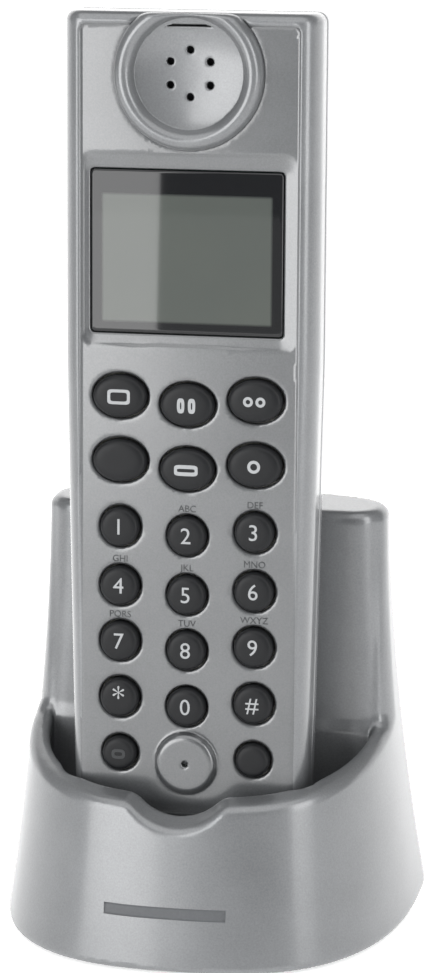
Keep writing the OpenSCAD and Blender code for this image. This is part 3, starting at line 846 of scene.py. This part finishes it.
def ear_field(x, v, w):
    r = np.hypot(x, w - EAR_W)
    crest = (np.hypot((r - CREST_RADIUS) / CREST_HALF[0], (v - 0.35) / CREST_HALF[1]) - 1) * 2.2
    depth = DISH_DEPTH - DISH_DEPTH * (r / DISH_RADIUS) ** 2.5
    depth = np.minimum(depth, 0.3 + 1.2 * np.maximum(DISH_TOP - w, 0))
    raised = rounded_join(crest, np.maximum(r - 12.6, depth - v), 0.8)
    raised = rounded_cut(np.maximum(raised, v - 0.36), w - HANDSET_LENGTH + 0.1, 0.8)
    stem = np.maximum(np.maximum(r - STEM_RADIUS, v - 2.6), w - 161.2)
    body = np.minimum(raised, np.maximum(stem, 0.3 - v))
    body = np.maximum(body, depth - v - 9 * (r > DISH_RADIUS))
    for k in range(6):
        angle = math.radians(30 + 60 * k)
        hole_x, hole_w = SOUND_CIRCLE * math.cos(angle), EAR_W + SOUND_CIRCLE * math.sin(angle)
        body = carve(body, np.hypot(x - hole_x, w - hole_w) - SOUND_HOLE, 0.15)
    return body


points, quads = skin_mesh(ear_field, (-16, -3.4, 136), (16, 3.4, 165), 0.28)
ear = new_piece("earpiece_skin", to_row(points), quads, silver)
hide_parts("earpiece_ring")
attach(ear, "handset")


# ---------------------------------------------------------------------------------------------
# Display window: clear acrylic, glossy in front, printed black behind except over the liquid
# crystal cell, which shows through as a grey field.
# ---------------------------------------------------------------------------------------------
CELL_HALF = (17.0, 12.6)
CELL_MID = WINDOW_LOW + 14.9
MASK_EDGE = 0.3
WINDOW_V = 1.7
WINDOW_HALF_DEPTH = 0.8


def window_acrylic():
    """Polished acrylic: near-mirror gloss with faint finger marks. The grey cell is a
    rectangle in the handset's own frame, with the slightly soft edge of a printed mask."""
    material, tree, place = new_material("black_printed_acrylic")
    middle = to_row([(WINDOW_X, 0.0, CELL_MID)])[0] * MM
    turn = add(
        tree, "ShaderNodeMapping", [("Vector", place, "Object")],
        vector_type="TEXTURE", Location=middle, Rotation=(-LEAN, 0, 0),
    )
    split = add(tree, "ShaderNodeSeparateXYZ", [(0, turn, 0)])
    masks = []
    for axis, half in (("X", CELL_HALF[0]), ("Z", CELL_HALF[1])):
        size = add(tree, "ShaderNodeMath", [(0, split, axis)], operation="ABSOLUTE")
        masks.append(add(
            tree, "ShaderNodeMapRange", [("Value", size, 0)],
            From_Min=(half + MASK_EDGE) * MM, From_Max=(half - MASK_EDGE) * MM,
        ))
    mask = add(tree, "ShaderNodeMath", [(0, masks[0], 0), (1, masks[1], 0)], operation="MULTIPLY")
    cloud = add(tree, "ShaderNodeTexNoise", [("Vector", place, "Object")], Scale=45.0, Detail=4.0)
    greys = [(0, cloud, "Fac"), (6, srgb("#484c4a")), (7, srgb("#50544f"))]
    cell = add(tree, "ShaderNodeMix", greys, data_type="RGBA")
    colours = [(0, mask, 0), (6, srgb("#141517")), (7, cell, 2)]
    tint = add(tree, "ShaderNodeMix", colours, data_type="RGBA")
    gloss = add(tree, "ShaderNodeMapRange", [("Value", cloud, "Fac")], To_Min=0.01, To_Max=0.03)
    shader = add(
        tree, "ShaderNodeBsdfPrincipled", [("Base Color", tint, 2), ("Roughness", gloss, 0)], IOR=1.49,
    )
    add(tree, "ShaderNodeOutputMaterial", [("Surface", shader, 0)])
    return material


def window_field(x, v, w):
    return rounded_cut(window_outline(x, w, 0.0), np.abs(v - WINDOW_V) - WINDOW_HALF_DEPTH, 0.25)


points, quads = skin_mesh(window_field, (-21, 0, 99), (21, 4, 135), 0.4)
window = new_piece("display_window_skin", to_row(points), quads, window_acrylic())
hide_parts("display_window")
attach(window, "handset")


# ---------------------------------------------------------------------------------------------
# Key caps: twenty caps of charcoal ABS, each on its own dome of the silicone mat. Legends are
# pad-printed in light grey; the letters of each digit are printed on the panel above its key.
# ---------------------------------------------------------------------------------------------
KEY_TOP = -1.25
KEY_FOOT = 2.3
LEGEND_T = 0.06
light_ink = printed_ink("light_grey_pad_print", "#a4a6a8", 0.5)
letter_ink = printed_ink("letter_pad_print", "#2e3032", 0.55)


def face_place(x, v, w):
    """A frame on the handset's face: X across, Y up the handset, Z out of the face."""
    turn = Matrix.Rotation(-LEAN, 4, "X") @ Matrix.Rotation(math.pi / 2, 4, "X")
    return Matrix.Translation(Vector(to_row([(x, v, w)])[0]) * MM) @ turn


def printed_text(words, size, material, place):
    """Generic key lettering as a thin raised mesh, centred on place."""
    curve = bpy.data.curves.new("lettering", "FONT")
    curve.body = words
    curve.size = size * MM
    curve.extrude = LEGEND_T * MM
    curve.align_x = "CENTER"
    curve.align_y = "CENTER"
    curve.resolution_u = 4
    holder = bpy.data.objects.new("lettering", curve)
    bpy.context.scene.collection.objects.link(holder)
    bpy.context.view_layer.update()
    mesh = bpy.data.meshes.new_from_object(holder.evaluated_get(bpy.context.evaluated_depsgraph_get()))
    bpy.data.objects.remove(holder)
    mesh.materials.clear()
    mesh.materials.append(material)
    mesh.transform(place)
    return mesh


def printed_band(outer, inner, material, place):
    """A closed flat band between two outlines of equal length, in mm, such as a ring."""
    n = len(outer)
    flat = [*outer, *inner]
    points = [(x, y, LEGEND_T) for x, y in flat] + [(x, y, -LEGEND_T) for x, y in flat]
    faces = []
    for k in range(n):
        m = (k + 1) % n
        faces += [(k, m, n + m, n + k), (2 * n + m, 2 * n + k, 3 * n + k, 3 * n + m)]
        faces += [(m, k, 2 * n + k, 2 * n + m), (n + k, n + m, 3 * n + m, 3 * n + k)]
    mesh = bpy.data.meshes.new("band")
    mesh.from_pydata([(x * MM, y * MM, z * MM) for x, y, z in points], [], faces)
    mesh.materials.append(material)
    mesh.transform(place)
    return mesh


def ring(radius_x, radius_y, squareness=2.0, middle=(0, 0), steps=32):
    """An outline: a circle, an oval or a soft rectangle."""
    outline = []
    for k in range(steps):
        c, s = math.cos(2 * math.pi * k / steps), math.sin(2 * math.pi * k / steps)
        c, s = (math.copysign(abs(q) ** (2 / squareness), q) for q in (c, s))
        outline.append((middle[0] + radius_x * c, middle[1] + radius_y * s))
    return outline


# Outer half-size, inner half-size, squareness and where across the key each mark stands.
FUNCTION_MARKS = {
    "key_menu": ((2.3, 1.5), (1.7, 0.9), 6, (0,)),
    "key_phonebook": ((0.75, 1.5), (0.15, 0.7), 3, (-1.1, 1.1)),
    "key_redial": ((1.0, 1.0), (0.45, 0.45), 2, (-1.25, 1.25)),
    "key_recall": ((2.4, 1.1), (1.8, 0.35), 5, (0,)),
    "key_end": ((1.3, 1.3), (0.7, 0.7), 2, (0,)),
    "key_mute": ((1.4, 1.0), (0.8, 0.4), 3, (0,)),
}
SIGNS = {"key_star": "*", "key_hash": "#"}
SIGN_SIZES = {"*": 6.0}
DIGIT_SIZE = 4.6


def legend(name, place):
    """The printed mark of one key, as a list of meshes."""
    word = SIGNS.get(name, name[4:])
    if len(word) == 1:
        return [printed_text(word, SIGN_SIZES.get(word, DIGIT_SIZE), light_ink, place)]
    ink = letter_ink if name == "key_mute" else light_ink
    outer, inner, squareness, shifts = FUNCTION_MARKS.get(name, (None, None, 0, ()))
    return [
        printed_band(ring(*outer, squareness, (x, 0)), ring(*inner, squareness, (x, 0)), ink, place)
        for x in shifts
    ]


for name, (x, w, (a, b)) in keys.items():
    cap = pad(a, b, KEY_FOOT - KEY_TOP, 6.5, charcoal, face_place(x, KEY_FOOT, w))
    put(name + "_cap", [cap, *legend(name, face_place(x, KEY_TOP, w))], name, "key_plastic", name)

LETTER_SIZE = 1.9
LETTER_RISE = 5.4
letters = ("ABC", "DEF", "GHI", "JKL", "MNO", "PQRS", "TUV", "WXYZ")
printed = []
for digit, word in enumerate(letters, 2):
    x, w, _ = keys[f"key_{digit}"]
    place = face_place(x, panel_depth(x), w + LETTER_RISE)
    printed.append(printed_text(word, LETTER_SIZE, letter_ink, place))
put("panel_letters", printed, "handset", "silver_abs")


# ---------------------------------------------------------------------------------------------
# Line socket contacts: six sprung wires of gold-plated bronze in the roof of the socket.
# One wire is made and repeated along the socket's width.
# ---------------------------------------------------------------------------------------------
WIRES_HALF_WIDTH = 2.55
WIRES_IN = 2.2
WIRES_UP = 8.2


def wire_tree():
    """Geometry nodes: Count wires side by side, Pitch apart, each a bent length of wire."""
    tree = bpy.data.node_groups.new("socket_wires", "GeometryNodeTree")
    face = tree.interface
    face.new_socket("Count", in_out="INPUT", socket_type="NodeSocketInt").default_value = 6
    for name, value in (("Pitch", 0.00102), ("Wire Radius", 0.0002), ("Length", 0.006), ("Drop", 0.002)):
        face.new_socket(name, in_out="INPUT", socket_type="NodeSocketFloat").default_value = value
    face.new_socket("Material", in_out="INPUT", socket_type="NodeSocketMaterial")
    face.new_socket("Geometry", in_out="OUTPUT", socket_type="NodeSocketGeometry")
    given = add(tree, "NodeGroupInput")
    tip = add(tree, "ShaderNodeCombineXYZ", [("Y", given, "Length"), ("Z", given, "Drop")])
    down = add(
        tree, "ShaderNodeVectorMath", [(0, tip, 0), (1, (1, 1, -1))], operation="MULTIPLY",
    )
    line = add(tree, "GeometryNodeCurvePrimitiveLine", [("End", down, 0)])
    round_wire = add(
        tree, "GeometryNodeCurvePrimitiveCircle", [("Radius", given, "Wire Radius")], Resolution=10,
    )
    wire = add(
        tree, "GeometryNodeCurveToMesh", [("Curve", line, 0), ("Profile Curve", round_wire, 0)],
        Fill_Caps=True,
    )
    step = add(tree, "ShaderNodeCombineXYZ", [("X", given, "Pitch")])
    row = add(tree, "GeometryNodeMeshLine", [("Count", given, "Count"), ("Offset", step, 0)])
    copies = add(tree, "GeometryNodeInstanceOnPoints", [("Points", row, 0), ("Instance", wire, 0)])
    real = add(tree, "GeometryNodeRealizeInstances", [("Geometry", copies, 0)])
    coloured = add(
        tree, "GeometryNodeSetMaterial", [("Geometry", real, 0), ("Material", given, "Material")],
    )
    add(tree, "NodeGroupOutput", [("Geometry", coloured, 0)])
    return tree


jack_low, jack_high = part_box("line_jack")
wires = run_tree("wires", wire_tree(), {"Material": gold})
first_wire = Vector(((jack_low.x + jack_high.x) / 2 - WIRES_HALF_WIDTH * MM, jack_low.y, jack_low.z))
wires.transform(Matrix.Translation(first_wire + Vector((0, WIRES_IN, WIRES_UP)) * MM))
put("line_socket_wires", [wires], "base", "gold_contact")


# ---------------------------------------------------------------------------------------------
# Floor and light: a pale table, a tall softbox to the left of the camera, a narrower one to
# the right, and a broad one overhead.
# ---------------------------------------------------------------------------------------------
def pale_floor():
    """Matt white floor that glows by its own emission as painted light: brightest behind the phone and
    dimmer before it, a painted falloff.
    """
    material, tree, place = new_material("emissive_floor_painted_falloff")
    grain = add(tree, "ShaderNodeTexNoise", [("Vector", place, "Object")], Scale=8.0)
    colours = [(0, grain, "Fac"), (6, srgb("#f6f6f6")), (7, srgb("#fafafa"))]
    tint = add(tree, "ShaderNodeMix", colours, data_type="RGBA")
    split = add(tree, "ShaderNodeSeparateXYZ", [(0, place, "Object")])
    # Painted light falloff: the floor's own emission fades from behind the phone to in front of it.
    painted_falloff = add(
        tree, "ShaderNodeMapRange", [("Value", split, "Y")], interpolation_type="SMOOTHSTEP",
        From_Min=-0.3, From_Max=0.35, To_Min=0.35, To_Max=1.0,
    )
    shader = add(
        tree, "ShaderNodeBsdfPrincipled",
        [("Base Color", tint, 2), ("Emission Color", tint, 2), ("Emission Strength", painted_falloff, 0)],
        Roughness=0.9,
    )
    add(tree, "ShaderNodeOutputMaterial", [("Surface", shader, 0)])
    return material


SWEEP = ((-5, 0), (1.1, 0), (1.3, 0.03), (1.48, 0.12), (1.63, 0.28), (1.74, 0.5), (1.8, 0.8), (1.8, 1.6))
floor_mesh = bpy.data.meshes.new("floor")
floor_mesh.from_pydata(
    [(x, y, z) for y, z in SWEEP for x in (-5, 5)], [],
    [(2 * k, 2 * k + 1, 2 * k + 3, 2 * k + 2) for k in range(len(SWEEP) - 1)],
)
floor_mesh.polygons.foreach_set("use_smooth", [True] * len(floor_mesh.polygons))
floor_mesh.materials.append(pale_floor())
floor = bpy.data.objects.new("floor", floor_mesh)
bpy.context.scene.collection.objects.link(floor)


def softbox(name, middle, aim, width, height, power):
    """A rectangular soft light that faces a point."""
    light = bpy.data.lights.new(name, "AREA")
    light.shape = "RECTANGLE"
    light.size, light.size_y = width, height
    light.energy = power
    lamp = bpy.data.objects.new(name, light)
    lamp.location = middle
    lamp.rotation_mode = "QUATERNION"
    lamp.rotation_quaternion = (Vector(aim) - Vector(middle)).to_track_quat("-Z", "Y")
    bpy.context.scene.collection.objects.link(lamp)


softbox("softbox_left", (-0.58, -0.95, 0.28), (0, 0, 0.28), 0.75, 0.9, 9.5)
softbox("softbox_right", (0.82, -0.5, 0.42), (0, 0, 0.2), 0.32, 0.8, 3.6)
softbox("softbox_top", (0.0, -0.5, 1.15), (0, 0, 0.1), 1.6, 1.2, 9)
world = bpy.data.worlds.new("studio")
world.use_nodes = True
world.node_tree.nodes["Background"].inputs[0].default_value = srgb("#e8e8e8")
world.node_tree.nodes["Background"].inputs[1].default_value = 0.3
bpy.context.scene.world = world
